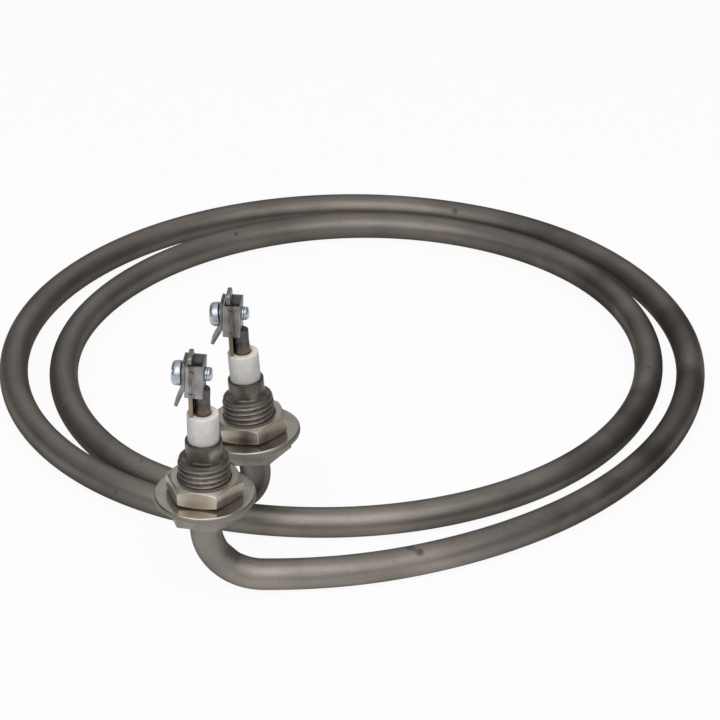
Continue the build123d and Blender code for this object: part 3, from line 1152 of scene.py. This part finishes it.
def sheet_metal(kind, dark, light, roughness, marks_and_shade=None):
    """Rolled sheet with lengthwise brushing and cloudy scuffs, and its own marks, with painted
    light and shade on the cage.
    """
    paint = seat_paint(kind, kind + "_metal", 1.0, roughness)
    body = paint.tones(paint.noise(330, 4), (0.3, *dark), (0.7, *light))
    brushing = paint.streaks((3200, 3200, 240), 4)
    body = paint.times(body, brushing, (0.3, 0.86), (0.7, 1.1))
    scuffs = paint.between(paint.noise(700, 5), 0.58, 0.75)
    body = paint.tint(body, scuffs, 0.35, (84, 80, 78))
    paint.colour(marks_and_shade(paint, body) if marks_and_shade else body)
    paint.rough(paint.noise(500, 4), roughness * 0.85, roughness * 1.25)
    paint.bump(brushing, 0.012, 0.5)
    paint.bump(paint.noise(1500, 3), 0.012, 0.5)


def tab_finish(paint, body):
    """Heat tint from the weld, low on the tab."""
    heated = paint.between_mm(paint.split(paint.pattern)["Z"], bush_top + 7.5, bush_top + 4.0)
    return paint.tint(body, heated, 0.85, (148, 132, 110))


def cage_dirt_and_shade(paint, body):
    """Dirt along the seam, painted shade in the slots, painted light on the inside and painted
    shade on the right face.
    """
    x, y, z = paint.split(paint.pattern)
    on_rear = paint.between_mm(paint.split(paint.place)["Y"], -95, -90)
    seam_x = cage_left + 1.5
    middle = paint.math("MULTIPLY_ADD", on_rear, rear_seam_shift * MM, seam_x * MM)
    off_seam = paint.math("ABSOLUTE", paint.math("SUBTRACT", x, middle))
    streaks = paint.between(paint.streaks((1500, 1500, 260), 4), 0.35, 0.65)
    share = paint.product(paint.between_mm(off_seam, 1.1, 0.5),
                          paint.between_mm(y, -2.8, -3.2),
                          paint.math("MULTIPLY_ADD", streaks, 0.55, 0.3))
    body = paint.mix(share, body, linear(96, 86, 76))
    # The depth along the cage, which is turned a little about the seat's axis
    deep = paint.math("MULTIPLY_ADD", x, sin(radians(-clamp_turn)), y)
    front_y, back_y = -cage_depth / 2, cage_depth / 2 - 0.3
    slots_top = screw_axis + 3.4
    # Painted shade in the slots
    slot_shade = paint.product(paint.between_mm(deep, front_y + 0.06, front_y + 0.14),
                            paint.between_mm(deep, front_y + 0.4, front_y + 0.34),
                            paint.between_mm(z, slots_top, slots_top - 0.3))
    body = paint.tint(body, slot_shade, 0.6, (72, 66, 60))
    # Painted light on the inside of the cage
    inside_light = paint.product(paint.between_mm(deep, back_y, back_y - 0.3),
                           paint.between_mm(deep, front_y + 0.46, front_y + 0.6),
                           paint.between_mm(x, 0.75, 0.35))
    body = paint.tint(body, inside_light, 0.8, (190, 190, 187))
    # Painted shade on the right face
    right_face_shade = paint.between(paint.split(paint.facing())["X"], 0.75, 0.95)
    return paint.tint(body, right_face_shade, 0.4, (96, 95, 88))


sheet_metal("tab", (122, 121, 120), (156, 155, 153), 0.4, tab_finish)
sheet_metal("cage", (138, 137, 136), (170, 169, 168), 0.4, cage_dirt_and_shade)
sheet_metal("plate", (108, 109, 113), (146, 147, 151), 0.38)

# Screws: blue-bright zinc plating, with a few dull spots
paint = seat_paint("screw", "screw_metal", 1.0, 0.2)
body = paint.tones(paint.noise(480, 4), (0.3, 168, 176, 186), (0.7, 196, 204, 214))
spots = paint.between(paint.noise(900, 5), 0.6, 0.75)
paint.colour(paint.tint(body, spots, 0.25, (112, 116, 122)))
paint.rough(paint.noise(600, 4), 0.3, 0.42)
paint.bump(paint.noise(1400, 4), 0.006, 0.4)

# Hidden sealing compound and magnesia: scales of colour, gloss and relief, then their values
for node, name, scales, dark, light, gloss, relief in (
    ("end_seal", "seal_compound", (600, 900, 1500), (128, 56, 42), (164, 84, 62),
     (0.6, 0.8), (0.05, 0.6)),
    ("magnesia_plug", "magnesia_powder", (900, 1200, 2500), (206, 200, 190), (232, 228, 220),
     (0.8, 1.0), (0.06, 0.7)),
):
    paint = Paint(name, 0.0, gloss[1])
    paint.colour(paint.tones(paint.noise(scales[0], 5), (0.3, *dark), (0.7, *light)))
    paint.rough(paint.noise(scales[1], 4), *gloss)
    paint.bump(paint.noise(scales[2], 4), *relief)
    paint.on(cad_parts["front_" + node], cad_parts["rear_" + node])

# Floor: it shows as white to the camera and in metal, and keeps a trace of the shadow
floor_reach = 9
floor_glow_share = 0.93
floor_lit_grey = 0.4
floor_seen_grey = 0.98
corners = [(-1, -1, 0), (1, -1, 0), (1, 1, 0), (-1, 1, 0)]
floor_mesh = bpy.data.meshes.new("floor")
floor_mesh.from_pydata([Vector(corner) * floor_reach for corner in corners], [], [(0, 1, 2, 3)])
floor = link("floor", floor_mesh)
floor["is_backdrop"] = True
paint = Paint("floor_white", 0.0, 0.9)
paint.set("Specular IOR Level", 0.0)
paths = paint.node("LightPath").outputs
shown = paint.math("MAXIMUM", paths["Is Camera Ray"], paths["Is Glossy Ray"])
shown = paint.math("MAXIMUM", shown, paths["Is Transmission Ray"])
paint.colour(paint.mix(shown, grey(floor_lit_grey), grey(floor_seen_grey)))
both = paint.node("MixShader")
paint.put(both.inputs[0], paint.product(shown, floor_glow_share))
paint.put(both.inputs[1], paint.shader.outputs[0])
paint.put(both.inputs[2], paint.node("Emission").outputs[0])
paint.put(paint.nodes.get("Material Output").inputs["Surface"], both.outputs[0])
paint.on(floor)

# The room: bright overhead, dimmer lower down, dark at both sides, and warmer in front
world = bpy.data.worlds.new("studio")
bpy.context.scene.world = world
world.use_nodes = True
room = Paint.on_tree(world.node_tree)
direction = room.split(room.node("TexCoord").outputs["Generated"])
height = room.greys(direction["Z"], (0.0, 0.3), (0.2, 0.4), (0.5, 0.55), (0.8, 0.8), (1.0, 0.9))
sideways = room.greys(room.math("ABSOLUTE", direction["X"]),
                      (0.0, 1.0), (0.35, 0.72), (0.75, 0.2), (1.0, 0.1))
front = room.ramp(room.between(direction["Y"], -1.0, 1.0), (0.0, (0.75, 0.66, 0.57, 1)),
                  (0.3, (0.8, 0.76, 0.71, 1)), (0.6, grey(0.97)), (1.0, grey(1.0)))
light = room.multiply(room.multiply(height, sideways), front)
room.put(room.nodes.get("Background").inputs["Color"], light)


def aim(obj, place, direction):
    obj.location = place
    obj.rotation_mode = "QUATERNION"
    obj.rotation_quaternion = direction.to_track_quat("-Z", "Y")


# Softboxes: name, place, target, size and power
for name, place, target, size, power in (
    ("front_softbox", (0.0, -0.64, 0.72), (0, 0, 0), (1.25, 0.95), 6.6),
    ("left_softbox", (-0.8, -0.6, 0.95), (0, 0, 0.03), (0.45, 0.35), 0.5),
):
    light = bpy.data.lights.new(name, "AREA")
    light.shape = "RECTANGLE"
    light.size, light.size_y = size
    light.energy = power
    aim(link(name, light), place, Vector(target) - Vector(place))

# Camera, as fitted to the photograph. Its target is in millimetres in the working frame.
camera_elevation = 30.18
camera_distance = 0.873
camera_focal_length = 144.47
camera_target = (1.88, -0.14, 4.25)
camera = bpy.data.cameras.new("camera")
camera.sensor_width = 36
camera.lens = camera_focal_length
camera.clip_start = 0.05
camera.clip_end = 50
camera_obj = link("camera", camera)
bpy.context.scene.camera = camera_obj
elevation = radians(camera_elevation)
target = (Vector(camera_target) + Vector(shift)) * MM
back = Vector((0, -cos(elevation), sin(elevation)))
aim(camera_obj, target + back * camera_distance, -back)

bpy.context.scene.view_settings.view_transform = "Standard"

low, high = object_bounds()
